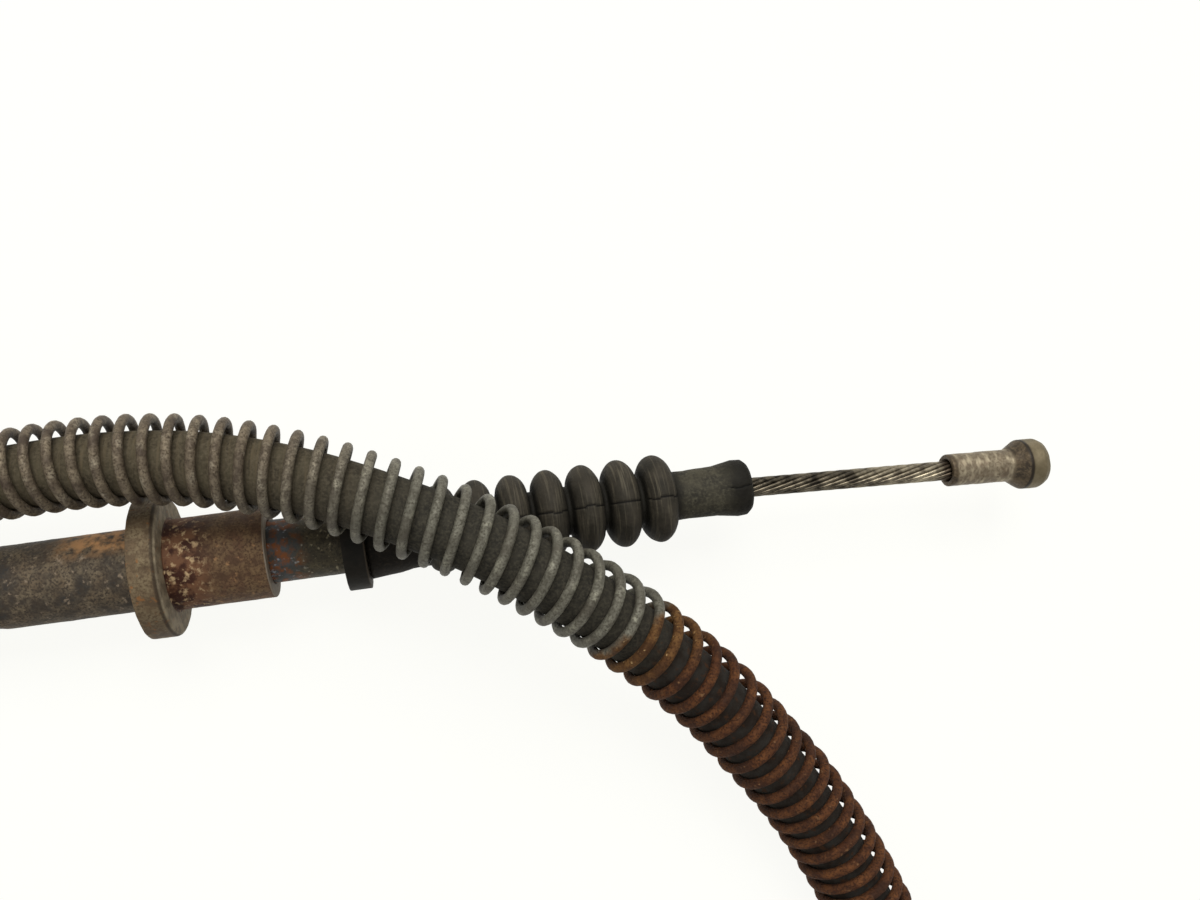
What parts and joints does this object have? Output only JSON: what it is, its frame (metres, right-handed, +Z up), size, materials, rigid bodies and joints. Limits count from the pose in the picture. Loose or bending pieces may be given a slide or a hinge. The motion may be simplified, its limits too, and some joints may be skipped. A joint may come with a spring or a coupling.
{
  "type": "push-pull control cable",
  "caption": "Sheathed control cable with a wound wire guard, crimped collar fittings, rubber bellows and a sliding nippled strand at each end.",
  "frame": {"origin": "bottom centre of the box round the two end fittings, on the surface that the cable lies on", "axes": "+X from end B's nipple towards end A's nipple, +Y from end B towards end A, +Z up from the surface"},
  "size_m": [0.322, 0.1634, 0.0317],
  "materials": {
    "ferrule_steel": "dull plated steel with brown rust blotches",
    "armour_wire": "bare flat wire",
    "liner_plastic": "natural nylon",
    "guide_steel": "dull grey-green steel with rust specks",
    "ring_black": "matt black",
    "boot_rubber": "weathered and finely cracked",
    "strand_steel": "greased bright wire",
    "nipple_steel": "worn plating with grime",
    "sheath_rubber": "dusty black",
    "guard_wire": "dull plated wire that turns to red-brown rust towards end B"
  },
  "bodies": {
    "casing": {"ferrule_a": "ferrule_steel", "armour_a": "armour_wire", "liner_a": "liner_plastic", "guide_tube_a": "guide_steel", "boot_ring_a": "ring_black", "boot_a": "boot_rubber", "ferrule_b": "ferrule_steel", "armour_b": "armour_wire", "liner_b": "liner_plastic", "guide_tube_b": "guide_steel", "boot_ring_b": "ring_black", "boot_b": "boot_rubber", "conduit_lead": "sheath_rubber", "conduit_coil": "sheath_rubber", "conduit_run": "sheath_rubber", "guard_spring": "guard_wire"},
    "inner_a": {"strand_a": "strand_steel", "nipple_a": "nipple_steel"},
    "inner_b": {"strand_b": "strand_steel", "nipple_b": "nipple_steel"}
  },
  "joints": [
    {"name": "pull_a", "type": "slide", "parent": "casing", "child": "inner_a", "axis": [0.991, 0.134, 0], "range_m": [-0.01, 0.01], "deforming": ["boot_a"]},
    {"name": "pull_b", "type": "slide", "parent": "casing", "child": "inner_b", "axis": [-1, 0, 0], "range_m": [-0.01, 0.01], "deforming": ["boot_b"]}
  ],
  "couplings": [
    {"joint": "pull_b", "follows": "pull_a", "ratio": -1}
  ]
}
